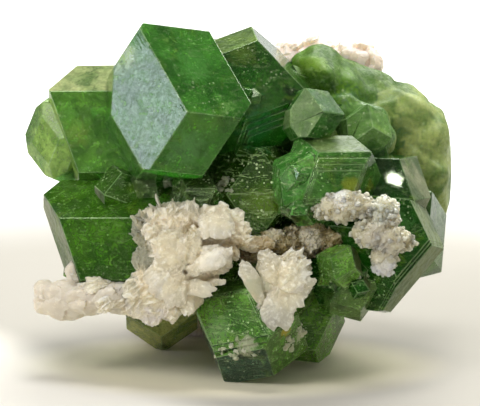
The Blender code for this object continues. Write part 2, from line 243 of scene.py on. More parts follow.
def chip(point, size, seed):
    """Height of a skin of tilted chips at this point, from -0.5 to 0.5."""
    spot = point / size + Vector((seed, 0, 0))
    _, cells = noise.voronoi(spot)
    cell = cells[0]
    lean = noise.noise_vector(cell * 7.3)
    height = (spot - cell).dot(lean) * 1.6 + 0.5 * noise.noise(cell * 5.1)
    return max(-0.5, min(0.5, height))


def strand(point, middle, size, fine):
    """Height of fibres that lie side by side, turned another way in every cell of the skin
    but mostly away from the middle."""
    bent = point + noise.noise_vector(point * 0.9) * 0.3
    _, cells = noise.voronoi(bent / size)
    outward = (cells[0] * size - Vector(middle)).normalized()
    along = (noise.noise_vector(cells[0] * 5.3) * 0.9 + outward).normalized()
    across = (bent - along * bent.dot(along) * 0.9) * fine
    return noise.fractal(across, 0.8, 2.2, 3)


def roughen(mesh, layers, seed, fibres=None):
    """Pushes the skin in and out in chips. layers: size of the chips and depth, millimetres.
    fibres: the middle they spread from, their cells' size, how fine they are and how deep."""
    moved, heights = [], []
    for vert in mesh.vertices:
        point = vert.co / MM
        push = sum(depth * chip(point, size, seed + n * 3.7)
                   for n, (size, depth) in enumerate(layers))
        if fibres:
            *shape, depth = fibres
            calm = min(math.hypot(point.x - x, point.z - z) for x, z in CALM) / CALM_REACH
            share = CALM_LEFT + (1 - CALM_LEFT) * min(calm, 1) ** 2
            height = strand(point, *shape) * share
            push += depth * height
            heights.append(height)
        moved.append(point + vert.normal * push)
    set_points(mesh, moved)
    if fibres:
        layer = mesh.attributes.new("strand", "FLOAT", "POINT")
        layer.data.foreach_set("value", heights)


def petal_points(row, seed, thick, long, wide):
    """A petal's points in metres, its front layer first. Ribs run from its root, and growth
    steps follow its rim."""
    root, tip, facing, width, cup, ribs, scallop = row
    root, tip = (Vector(end) + SHIFT for end in (root, tip))
    along = tip - root
    length = along.length
    along.normalize()
    up = Vector(facing)
    up = (up - along * up.dot(along)).normalized()
    side = along.cross(up)
    for layer in (0, 1):
        for i in range(long):
            for j in range(wide):
                u = i / (long - 1)
                v = 2 * j / (wide - 1) - 1
                rim = 1 - 0.26 * abs(v) ** 3
                wave = noise.noise(Vector((v * 3.0, seed * 5.1, 0.3)))
                rim *= 1 + scallop * (0.04 * math.cos(v * 7.5 + seed) + 0.3 * wave)
                flare = 0.5 + 0.5 * math.sin(min(u * 1.4, 1.0) * math.pi / 2)
                edge = 1 + 0.2 * scallop * noise.noise(Vector((u * 3.5, seed * 3.3, v)))
                across = v * width / 2 * flare * edge
                lift = cup * width * (1 - v * v) * math.sin(math.pi * (0.15 + 0.7 * u))
                lift += 0.03 * width / ribs ** 0.5 * math.sin(v * ribs * 1.9 + seed) * u
                near_rim = max(u, abs(v) ** 2)
                lift -= GROWTH_DEPTH * sum(near_rim > step for step in GROWTH_STEPS)
                bend = noise.noise_vector(Vector((u * 1.6, v * 1.6, seed * 2.9)))
                jag = 1 + 0.12 * scallop * noise.noise(Vector((v * 11.0, seed * 7.7, 1.3)))
                place = root + along * u * length * rim * jag + side * across
                place += up * (lift - layer * thick * (1 - RIM_THINNING * near_rim ** 3))
                yield (place + bend * BEND) * MM


def petal_faces(first, long, wide):
    """The faces that close a petal whose points start at this one."""

    def at(layer, i, j):
        return first + (layer * long + i) * wide + j

    for i in range(long - 1):
        for j in range(wide - 1):
            yield at(0, i, j), at(0, i, j + 1), at(0, i + 1, j + 1), at(0, i + 1, j)
            yield at(1, i, j), at(1, i + 1, j), at(1, i + 1, j + 1), at(1, i, j + 1)
    for i in range(long - 1):
        for j in (0, wide - 1):
            yield at(0, i, j), at(0, i + 1, j), at(1, i + 1, j), at(1, i, j)
    for j in range(wide - 1):
        for i in (0, long - 1):
            yield at(0, i, j), at(1, i, j), at(1, i, j + 1), at(0, i, j + 1)


def petal_mesh(name, rows, thick=0.34, long=14, wide=27):
    """Closed petals, this thick in millimetres, with so many points along and across."""
    points, faces = [], []
    for n, row in enumerate(rows):
        faces += petal_faces(len(points), long, wide)
        points += petal_points(row, n + 1, thick, long, wide)
    mesh = bpy.data.meshes.new(name)
    mesh.from_pydata(points, [], faces)
    bm = bmesh.new()
    bm.from_mesh(mesh)
    bmesh.ops.recalc_face_normals(bm, faces=bm.faces[:])
    bm.to_mesh(mesh)
    bm.free()
    return mesh


def lumps_joined(name, lumps, voxel, smooth=0, petals=()):
    """One closed skin round lumps and petals, softened so many times. voxel: millimetres."""
    bm = bmesh.new()
    if petals:
        leaves = petal_mesh(name, petals)
        bm.from_mesh(leaves)
        bpy.data.meshes.remove(leaves)
    for middle, half in lumps:
        made = bmesh.ops.create_icosphere(bm, subdivisions=3, radius=1.0)["verts"]
        for vert in made:
            swell = 1 + SWELL * noise.fractal(vert.co * 1.7 + Vector(middle), 0.9, 2.1, 3)
            offset = Vector([a * b for a, b in zip(vert.co, half)]) * swell
            vert.co = (Vector(middle) + SHIFT + offset) * MM
    obj = add_object(name, bm)
    remesh = obj.modifiers.new("skin", "REMESH")
    remesh.mode = "VOXEL"
    remesh.voxel_size = voxel * MM
    if smooth:
        soften(obj, smooth)
    return baked(obj)


def dress(piece, material, slot, node=None):
    """Gives a piece its material and its body, and hides the node that it stands for. slot: not
    used.
    """
    piece.data.materials.clear()
    piece.data.materials.append(material)
    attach(piece, "root")
    if node:
        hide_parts(node)


# ---------------------------------------------------------------- garnets

EDGE_BEVEL = 0.05 * MM  # how far a bevel reaches from its edge
RIDGE_LENGTH = 0.5 * MM  # the shortest edge that is bevelled
RIDGE_ANGLE = math.radians(12)  # and the least that the skin turns by there
MERGED = 0.002 * MM  # corners this near each other are one
FLAT = math.radians(0.6)  # faces this near to one plane are one
SLIP = 0.3 * MM  # a corner that moves further in the bevel is put back
CLEAR_OF_SLIP = 1.0 * MM  # unless one of its edges is longer than this
UNDER_FACE = 0.3  # millimetres under a face at which its crystal is looked for
NARROW_FACE = 0.08 * MM  # a face less wide than this is part of an edge
RIDGE_PAINTED_HIGHLIGHT = (0.10, 0.17, 0.07)  # the painted highlight that such a face gains
RIDGE_TINT = 0.5  # and the share of its tint that it keeps
LOOKS_THERE = 0.75  # least dot product of a normal with the direction in its row of the etched and painted faces
# Each crystal: its middle and size in millimetres, the colour of its body, how milky it is,
# how dull its faces are and how many bright flecks, partly painted glints, it holds.
TINTS = {
    "high_left": ((-4.5, -2.6, 18.6), 5.0, (0.029, 0.149, 0.012), 0.74, 0.10, 0.30),
    "left": ((-8.0, 2.2, 16.7), 4.2, (0.064, 0.214, 0.018), 0.70, 0.14, 0.30),
    "far_left": ((-11.8, 3.9, 15.2), 3.05, (0.150, 0.290, 0.050), 0.85, 0.32, 0.15),
    "low_left": ((-8.2, -2.0, 9.0), 4.6, (0.030, 0.108, 0.006), 0.95, 0.12, 0.22),
    "peak": ((0.7, 1.4, 18.0), 4.8, (0.018, 0.085, 0.008), 0.68, 0.16, 0.40),
    "middle": ((0.8, -2.0, 12.7), 3.2, (0.026, 0.080, 0.006), 0.94, 0.14, 1.60),
    "right": ((8.4, -3.5, 9.1), 4.4, (0.007, 0.062, 0.003), 0.92, 0.08, 0.50),
    "right_shoulder": ((10.1, -2.0, 12.5), 2.6, (0.004, 0.034, 0.002), 0.85, 0.02, 0.25),
    "table": ((6.4, -4.1, 13.7), 3.0, (0.044, 0.165, 0.020), 0.66, 0.08, 0.60),
    "sparkling": ((4.4, -4.8, 13.7), 2.1, (0.090, 0.320, 0.052), 0.70, 0.14, 1.30),
    "splinter": ((4.9, -2.7, 18.0), 1.7, (0.022, 0.105, 0.012), 1.05, 0.45, 0.60),
    "wedge": ((8.7, -0.4, 16.6), 1.8, (0.070, 0.175, 0.032), 1.05, 0.45, 0.60),
    "back_dome": ((6.4, 4.6, 18.3), 2.9, (0.040, 0.112, 0.006), 1.05, 0.60, 0.40),
    "back_dome_right": ((8.4, 7.6, 16.1), 3.2, (0.090, 0.170, 0.026), 1.05, 0.55, 0.30),
    "far_right": ((10.4, 6.0, 13.2), 4.5, (0.175, 0.255, 0.070), 1.05, 0.55, 0.30),
    "dark_left": ((-8.1, -2.2, 12.3), 1.7, (0.035, 0.105, 0.012), 0.85, 0.10, 0.60),
    "dark_middle": ((-6.2, -2.0, 12.5), 1.9, (0.050, 0.115, 0.020), 0.66, 0.10, 1.50),
    "ledge": ((-2.9, -4.8, 12.7), 1.6, (0.050, 0.115, 0.020), 0.66, 0.10, 1.80),
    "foot": ((0.9, -5.7, 3.9), 3.0, (0.075, 0.210, 0.026), 0.84, 0.22, 0.90),
    "foot_right": ((4.1, -0.7, 3.3), 2.8, (0.085, 0.230, 0.022), 0.88, 0.14, 0.80),
    "foot_left": ((-5.5, 3.9, 3.2), 2.5, (0.260, 0.330, 0.080), 0.85, 0.20, 0.20),
    "bud": ((6.9, -6.6, 8.3), 1.35, (0.130, 0.340, 0.040), 0.70, 0.12, 0.90),
    "bud_low": ((7.5, -5.2, 6.6), 1.9, (0.090, 0.210, 0.030), 0.70, 0.12, 0.80),
    "heart": ((0.0, 1.5, 9.5), 5.2, (0.040, 0.110, 0.010), 0.86, 0.14, 0.80),
    "heart_low": ((1.5, -1.0, 6.2), 4.0, (0.055, 0.140, 0.014), 0.86, 0.14, 0.80),
    "rear_left": ((-7.5, 7.6, 12.2), 3.9, (0.110, 0.240, 0.036), 0.80, 0.14, 0.20),
    "rear_high": ((-2.2, 6.6, 17.4), 4.0, (0.060, 0.170, 0.024), 0.70, 0.10, 0.20),
    "rear_low_left": ((-8.8, 6.0, 6.8), 3.0, (0.090, 0.210, 0.032), 0.75, 0.12, 0.20),
    "rear_right": ((8.2, 9.2, 10.6), 3.6, (0.110, 0.230, 0.040), 0.75, 0.12, 0.20),
    "rear_low_right": ((6.0, 5.2, 5.6), 3.3, (0.065, 0.160, 0.024), 0.70, 0.16, 0.20),
    "right_under": ((10.6, 1.4, 9.2), 3.3, (0.070, 0.180, 0.030), 0.70, 0.12, 0.30),
}
# Crystals whose free corners are drawn in, and to what share of the way from their middles.
DRAWN_IN = (
    (("back_dome", "back_dome_right", "far_right"), 0.5),
    (("wedge",), 0.82),
)
# The rounded lobes at the far right: middle and half sizes in millimetres.
LOBES = (
    ((5.5, 5.6, 18.9), (2.15, 3.4, 2.6)),
    ((6.9, 5.9, 17.8), (2.5, 3.4, 2.6)),
    ((8.0, 6.4, 17.2), (2.6, 3.4, 2.7)),
    ((9.1, 6.6, 16.6), (2.8, 3.5, 2.8)),
    ((10.3, 6.9, 15.9), (2.9, 3.6, 2.9)),
    ((11.3, 6.9, 15.1), (3.0, 3.7, 3.0)),
    ((12.3, 6.9, 14.0), (3.0, 3.8, 3.0)),
    ((12.8, 6.8, 12.7), (2.9, 3.8, 3.0)),
    ((12.8, 6.7, 11.3), (2.7, 3.6, 2.8)),
    ((10.3, 6.9, 13.8), (3.2, 3.2, 2.8)),
    ((11.8, 6.9, 11.9), (2.8, 3.6, 3.0)),
    ((7.3, 1.6, 16.9), (1.7, 1.6, 2.0)),
    ((9.2, 0.9, 15.7), (1.9, 1.5, 1.5)),
    ((8.5, 1.7, 16.5), (2.0, 1.6, 1.8)),
)
# Tinted places inside the crystals: middle, reach and colour. The pale yellow-green place at the
# top left and the orange one on the foot are painted glints, and the two near-black brown ones
# are painted shade in a hollow.
GARNET_ZONES = (
    ((-7.9, -4.9, 22.8), 1.2, (0.24, 0.38, 0.09)), ((-3.4, -5.1, 21.6), 1.7, (0.060, 0.24, 0.03)),
    ((-4.8, -4.9, 23.9), 0.6, (0.12, 0.28, 0.04)), ((-1.0, -6.6, 19.0), 0.9, (0.13, 0.32, 0.06)),
    ((0.0, -1.6, 22.2), 1.1, (0.085, 0.16, 0.02)), ((1.4, -3.8, 17.4), 1.8, (0.02, 0.15, 0.035)),
    ((3.4, -2.4, 19.8), 0.5, (0.003, 0.015, 0.004)), ((7.5, -7.0, 14.0), 0.8, (0.24, 0.30, 0.02)),
    ((9.0, -5.6, 13.6), 0.7, (0.22, 0.30, 0.02)), ((1.7, -5.2, 12.4), 1.4, (0.11, 0.20, 0.02)),
    ((-1.6, -7.9, 4.2), 1.2, (0.15, 0.30, 0.08)),
    ((2.9, -8.0, 4.2), 0.7, (0.48, 0.38, 0.03)), ((4.2, -6.4, 3.4), 0.6, (0.55, 0.60, 0.36)),
    ((-13.0, 1.0, 16.8), 1.1, (0.20, 0.30, 0.07)), ((-11.3, -0.2, 16.4), 1.0, (0.15, 0.28, 0.03)),
    # The near-black brown places on this line and the next are painted shade in a hollow.
    ((10.8, -7.0, 11.2), 1.2, (0.05, 0.18, 0.03)), ((4.2, -3.6, 11.6), 1.9, (0.02, 0.014, 0.002)),
    ((3.3, -7.2, 11.5), 1.2, (0.02, 0.014, 0.002)),
    ((7.3, 2.4, 17.3), 1.9, (0.030, 0.11, 0.02)), ((9.8, 3.6, 14.9), 1.9, (0.045, 0.14, 0.025)),
    ((5.4, 3.2, 20.6), 1.0, (0.13, 0.24, 0.02)), ((-3.6, -8.1, 16.8), 1.6, (0.07, 0.23, 0.045)),
    ((9.2, -0.6, 15.0), 1.5, (0.030, 0.12, 0.02)),
    ((0.5, -8.8, 3.3), 0.9, (0.42, 0.44, 0.28)), ((-8.1, -6.4, 8.2), 1.8, (0.022, 0.07, 0.006)),
)
# Faces etched dull, coloured by the way they face: crystal, the way the face looks, body colour,
# milkiness, dullness, flecks.
# The grey of the side faces of right, low_left and right_shoulder is painted reflection, and the
# dark blue-green of the foot's lower faces is painted shade.
ETCHED_AND_PAINTED = (
    ("right", (1, 0, 0), (0.10, 0.15, 0.05), 0.95, 0.6, 0.1),
    ("low_left", (-1, 0, 0), (0.13, 0.17, 0.09), 0.95, 0.6, 0.1),
    ("left", (0, 0, 1), (0.21, 0.29, 0.10), 0.85, 0.3, 0.3),
    ("peak", (-0.2, 0, 1), (0.040, 0.090, 0.004), 1.13, 0.7, 0.3),
    ("right_shoulder", (1, 0, 0), (0.13, 0.17, 0.08), 0.95, 0.6, 0.1),
    ("foot", (0, -0.6, -0.8), (0.022, 0.065, 0.036), 0.90, 0.10, 0.5),
    ("foot", (-1, 0, -0.3), (0.030, 0.080, 0.046), 0.90, 0.10, 0.5),
    ("splinter", (-0.5, -0.8, 0.4), (0.10, 0.19, 0.06), 0.95, 0.5, 0.6),
    ("table", (0, 0.3, 1), (0.052, 0.10, 0.022), 1.0, 0.5, 0.3),
)
# What deepens and what lightens a crystal's own colour.
DEEPER = (0.5, 0.6, 0.45)
LIGHTER = (1.8, 1.45, 1.7)
# Colours inside the crystals. The bright specks are partly pale inclusions and partly painted
# glints.
FROST = (0.30, 0.40, 0.12)
GLOW = (0.20, 0.33, 0.03)
SPECK_AND_GLINT = (0.70, 0.82, 0.48)
RIBBON = (0.34, 0.46, 0.20)
# Clear crystal, its sheen and that of the cloudy crystal, and the colour and strength, per
# metre, with which light is taken up inside.
CLEAR = (0.85, 0.95, 0.75, 1)
CLEAR_SHEEN = (0.9, 1.0, 0.75, 1)
CLOUDY_SHEEN = (0.82, 1.0, 0.6, 1)
DEPTH_COLOUR = (0.46, 0.74, 0.34, 1)
DEPTH_DENSITY = 650.0

# Of the crystals in TINTS, in the frame's own millimetres.
MIDDLES = np.array([row[0] for row in TINTS.values()]) + np.array(SHIFT)
SIZES = np.array([row[1] for row in TINTS.values()])


def crystal_at(middle, normal):
    """Place in TINTS of the crystal that a face is on, from its middle in metres."""
    inside = np.array(middle) / MM - UNDER_FACE * np.array(normal)
    return int(np.argmin(np.linalg.norm(MIDDLES - inside, axis=1) / SIZES))


def merged_copy(node):
    """A copy of a node's mesh with its corners merged and its flat faces whole."""
    bm = bmesh.new()
    bm.from_mesh(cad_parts[node].data)
    bmesh.ops.remove_doubles(bm, verts=bm.verts[:], dist=MERGED)
    bmesh.ops.dissolve_limit(bm, angle_limit=FLAT, verts=bm.verts[:], edges=bm.edges[:])
    return bm


def draw_in(bm, names, share):
    """Draws the free corners of some crystals in toward their middles."""
    wanted = {list(TINTS).index(name) for name in names}
    for vert in bm.verts:
        owners = {crystal_at(face.calc_center_median(), face.normal)
                  for face in vert.link_faces}
        if owners <= wanted:
            middle = Vector(MIDDLES[min(owners)]) * MM
            vert.co = middle + (vert.co - middle) * share


def bevel_ridges(bm):
    """Narrow bevels on the long outward edges. A corner that slips is put back."""
    corners = kdtree.KDTree(len(bm.verts))
    for index, vert in enumerate(bm.verts):
        corners.insert(vert.co, index)
    corners.balance()
    ridges = [edge for edge in bm.edges if edge.is_manifold
              and edge.calc_length() > RIDGE_LENGTH
              and edge.calc_face_angle_signed() > RIDGE_ANGLE]
    bmesh.ops.bevel(bm, geom=ridges, offset=EDGE_BEVEL, offset_type="OFFSET", segments=2,
                    profile=0.5, affect="EDGES", clamp_overlap=False)
    for vert in bm.verts:
        nearest, _, distance = corners.find(vert.co)
        if distance > SLIP and not any(edge.calc_length() > CLEAR_OF_SLIP
                                       for edge in vert.link_edges):
            vert.co = nearest


def lay_grain(mesh):
    """A UV map in millimetres for each face, its U along the face's longest edge."""
    points = points_of(mesh)
    layer = mesh.uv_layers.new(name="grain")
    for face in mesh.polygons:
        rim = points[list(face.vertices)]
        sides = np.roll(rim, -1, axis=0) - rim
        along = sides[np.argmax((sides ** 2).sum(axis=1))]
        along = along / max(np.linalg.norm(along), 1e-9)
        across = np.cross(np.array(face.normal), along)
        for loop, point in zip(face.loop_indices, rim):
            layer.data[loop].uv = (point @ along, point @ across)


def tint_faces(mesh):
    """Gives every face the looks of the crystal it is on, or its own listed looks where it is
    etched; these hold painted reflection on some side faces and painted shade under the foot.
    Narrow edge faces get a painted highlight.
    """
    names = list(TINTS)
    rows = [row[2:] for row in (*TINTS.values(), *ETCHED_AND_PAINTED)]
    chosen = []
    for face in mesh.polygons:
        best = crystal_at(face.center, face.normal)
        for n, (crystal, looks, *_) in enumerate(ETCHED_AND_PAINTED):
            if names[best] == crystal and face.normal.dot(Vector(looks)) > LOOKS_THERE:
                best = len(names) + n
                break
        tint, *rest = rows[best]
        length = max((mesh.vertices[a].co - mesh.vertices[b].co).length
                     for a, b in face.edge_keys)
        # A narrow face along an edge gets a painted highlight.
        if face.area < NARROW_FACE * length:
            tint = tuple(RIDGE_TINT * part + light for part, light in zip(tint, RIDGE_PAINTED_HIGHLIGHT))
        chosen.append(((*tint, 1), *rest))
    for n, (name, kind, key) in enumerate((
            ("tint", "FLOAT_COLOR", "color"), ("milk", "FLOAT", "value"),
            ("dull", "FLOAT", "value"), ("fleck", "FLOAT", "value"))):
        values = np.array([row[n] for row in chosen], dtype=np.float32)
        mesh.attributes.new(name, kind, "FACE").data.foreach_set(key, values.ravel())


def garnet_colour(tree, where, fine):
    """Each face's tint, mottled, with painted inner reflections, zones, specks and ribbons in it.
    Some zones are painted glints and shade, and the specks are partly painted glints.
    """
    tint = tree.attribute("tint", "Color")
    fleck = tree.attribute("fleck")
    dark = tree.mix(1.0, tint, DEEPER, "MULTIPLY")
    light = tree.mix(1.0, tint, LIGHTER, "MULTIPLY")
    blotch = tree.noise(where, 0.5, 4.0, 0.6, 0.6)
    colour = tree.mix(tree.step(blotch, 0.35, 0.65), dark, light)
    colour = tree.mix(tree.step(fine, 0.55, 0.8) * 0.35, colour, FROST)
    # Angular patches, darker and lighter, painted as reflections inside the crystal.
    reflection_patches = tree.node("ShaderNodeTexVoronoi", {}, {
        "Vector": tree.place((0.5, 0.36, 0.44)), "Scale": 1.0}, out="Color")
    reflection_patch = tree.node("ShaderNodeSeparateColor", {}, {0: reflection_patches})
    colour = tree.mix(tree.step(reflection_patch, 0.75, 0.8) * 0.45, colour, dark)
    colour = tree.mix(tree.step(reflection_patch, 0.3, 0.2) * 0.45, colour, light)
    glow = tree.step(tree.noise(where, 0.33, 3.0, 0.6, 1.5), 0.55, 0.72)
    colour = tree.mix(glow * 0.3, colour, GLOW)
    pits = tree.noise(where, 5.5, 3.0, 0.65)
    colour = tree.mix(tree.step(pits, 0.5, 0.34) * 0.5, colour, dark)
    colour = tree.mix(tree.step(pits, 0.56, 0.7) * 0.35, colour, light)
    colour = tree.zoned(where, colour, GARNET_ZONES, fine, 0.9)
    # Bright specks, partly pale inclusions and partly painted glints.
    away, pick = tree.node("ShaderNodeTexVoronoi", {}, {
        "Vector": where, "Scale": 3.0, "Randomness": 1.0}, out=("Distance", "Color"))
    picked = tree.node("ShaderNodeSeparateColor", {}, {0: pick})
    crowd = tree.step(tree.noise(where, 0.45, 3.0, 0.6, 1.0), 0.38, 0.60)
    speck_and_glint = tree.step(away + picked * 0.2, 0.30, 0.24) * crowd * fleck
    colour = tree.mix(speck_and_glint * 0.8, colour, SPECK_AND_GLINT)
    streak = tree.noise(tree.place((0.5, 0.9, 2.4), (0.5, 0.3, 0.8)), 0.9, 3.0, 0.7, 2.5)
    ribbon = tree.step(streak, 0.57, 0.60) * tree.step(streak, 0.66, 0.62)
    return tree.mix(ribbon * fleck * 0.7, colour, RIBBON)


def garnet_relief(tree, where, dull):
    """Growth lines along each face and slight waves, except on the glossiest faces."""
    grain = tree.node("ShaderNodeUVMap", {"uv_map": "grain"})
    lined = tree.node("ShaderNodeMapping", {}, {0: grain, 3: (0.25, 5.0, 1)})
    lines = tree.noise(lined, 1.0, 2.0, 0.6)
    patches = tree.step(tree.noise(where, 0.7, 2.0, 0.5), 0.45, 0.65)
    uneven = tree.step(dull, 0.03, 0.12)
    relief = tree.bump(lines * patches * uneven, 0.02, 0.6)
    return tree.bump(tree.noise(where, 2.0, 4.0, 0.6) * uneven, 0.02, 0.16, relief)


def garnet_material():
    """Clear green crystal with cloudy green in it, by the share that each face holds."""
    material, tree = new_material("green_garnet", (0.05, 0.22, 0.03))
    where = tree.place()
    fine = tree.noise(where, 2.0, 5.0, 0.7, 1.0)
    dull = tree.attribute("dull")
    relief = garnet_relief(tree, where, dull)
    cloud = tree.node("ShaderNodeBsdfPrincipled", {}, {
        "Base Color": garnet_colour(tree, where, fine), "Roughness": dull, "IOR": 1.5,
        "Specular IOR Level": 0.15, "Specular Tint": CLOUDY_SHEEN, "Normal": relief})
    gem = tree.node("ShaderNodeBsdfPrincipled", {}, {
        "Base Color": CLEAR, "Roughness": dull * 0.7, "IOR": 1.6, "Normal": relief,
        "Transmission Weight": 1.0, "Specular Tint": CLEAR_SHEEN})
    depth = tree.node("ShaderNodeVolumeAbsorption", {}, {
        "Color": DEPTH_COLOUR, "Density": DEPTH_DENSITY})
    mottle = 0.35 * (tree.step(fine, 0.35, 0.7) - 0.5)
    share = tree.attribute("milk") * 0.88 + mottle
    whole = tree.node("ShaderNodeMixShader", {}, {0: share, 1: gem, 2: cloud})
    tree.node("ShaderNodeOutputMaterial", {}, {"Surface": whole, "Volume": depth}, out=None)
    return material


def make_garnets():
    """The garnets and the rounded lobes. It gives back the garnets, for what lies on them."""
    bm = merged_copy("garnet_cluster")
    for names, share in DRAWN_IN:
        draw_in(bm, names, share)
    bevel_ridges(bm)
    lobes = lumps_joined("garnet_lobes", LOBES, 0.2, smooth=12)
    roughen(lobes.data, ((3.6, 0.5), (1.6, 0.12)), seed=31.0)
    soften(lobes, 10)
    baked(lobes)
    keep_inside(lobes.data)
    for face in lobes.data.polygons:
        face.use_smooth = True
    skin = garnet_material()
    cluster = add_object("garnets", bm)
    for piece in (cluster, lobes):
        lay_grain(piece.data)
        tint_faces(piece.data)
        dress(piece, skin, "green_garnet", "garnet_cluster")
    return cluster


# ---------------------------------------------------------------- minerals

# Lumps: middle, half sizes in millimetres.
WHITE_LUMPS = (
    ((-4.2, -6.4, 10.6), (2.7, 1.4, 2.1)), ((-6.0, -6.4, 10.9), (1.5, 0.8, 1.5)),
    ((-2.8, -6.2, 11.6), (2.0, 0.8, 1.0)), ((-1.0, -6.7, 10.6), (1.7, 0.9, 1.3)),
    ((1.2, -6.3, 9.8), (1.3, 0.7, 0.6)), ((-5.0, -7.0, 8.8), (2.3, 1.2, 1.7)),
    ((-5.5, -6.9, 7.4), (2.0, 1.2, 1.2)), ((-3.2, -7.1, 8.0), (1.7, 1.0, 1.4)),
    ((-6.0, -6.3, 5.5), (2.6, 1.0, 1.0)), ((-7.6, -6.4, 6.1), (1.8, 1.1, 1.2)),
    ((-5.8, -6.4, 9.4), (1.2, 0.8, 2.0)), ((-2.2, -6.9, 9.3), (1.5, 1.0, 1.4)),
    ((-3.6, -7.0, 6.4), (1.1, 0.8, 1.3)),
)
TONGUE_LUMPS = (
    ((-8.2, -6.4, 6.1), (2.4, 1.1, 1.2)), ((-10.2, -5.9, 5.9), (2.0, 0.9, 1.15)),
    ((-12.0, -5.3, 5.6), (2.1, 1.0, 1.4)), ((-13.4, -5.1, 5.4), (1.0, 0.8, 0.85)),
    ((-13.5, -4.9, 6.3), (0.85, 0.7, 0.6)), ((-11.5, -4.6, 7.3), (0.5, 0.6, 0.9)),
    ((-6.6, -6.4, 5.6), (1.2, 1.0, 1.0)),
)
FAN_LUMPS = (
    ((3.2, -7.5, 7.3), (1.5, 0.6, 1.5)), ((2.6, -7.6, 5.9), (1.0, 0.5, 1.1)),
    ((4.0, -7.1, 8.4), (0.9, 0.5, 0.8)), ((2.5, -7.2, 8.4), (1.4, 0.6, 0.8)),
    ((1.6, -7.4, 6.9), (0.7, 0.4, 1.0)),
)
TAN_LUMPS = (
    ((1.1, -5.4, 9.2), (1.5, 0.9, 0.9)), ((3.0, -5.3, 9.6), (1.7, 0.9, 1.0)),
    ((4.7, -5.3, 9.7), (1.6, 0.9, 1.2)), ((6.2, -5.6, 9.9), (1.2, 0.8, 0.9)),
    ((4.9, -5.6, 10.8), (0.8, 0.6, 0.7)),
)
GREY_LUMPS = (
    ((6.9, -7.4, 12.7), (1.6, 0.9, 1.1)), ((5.8, -7.0, 12.5), (1.0, 0.8, 0.8)),
    ((8.2, -7.5, 12.7), (1.1, 0.7, 0.8)), ((9.8, -7.7, 12.1), (1.1, 0.8, 1.3)),
    ((9.1, -8.1, 10.9), (1.3, 0.8, 1.0)), ((10.3, -8.2, 10.5), (1.1, 0.8, 1.0)),
    ((9.8, -8.2, 9.0), (0.9, 0.7, 1.1)), ((11.2, -7.8, 10.4), (0.7, 0.6, 0.7)),
)
ROCK_LUMPS = (
    ((0.2, 9.4, 3.4), (6.6, 3.6, 5.6)), ((1.6, 9.2, 9.2), (6.4, 3.0, 4.6)),
    ((4.4, 8.6, 14.6), (4.8, 2.8, 4.4)), ((-3.6, 9.4, 8.4), (3.8, 2.6, 3.8)),
    ((3.5, 8.4, 19.3), (2.6, 1.5, 1.9)), ((5.6, 8.4, 20.0), (2.2, 1.4, 1.3)),
    ((7.6, 8.4, 19.9), (2.0, 1.3, 1.2)), ((8.7, 8.4, 19.6), (1.3, 1.1, 1.2)),
    ((5.3, 8.4, 21.0), (0.8, 0.7, 0.6)),
)
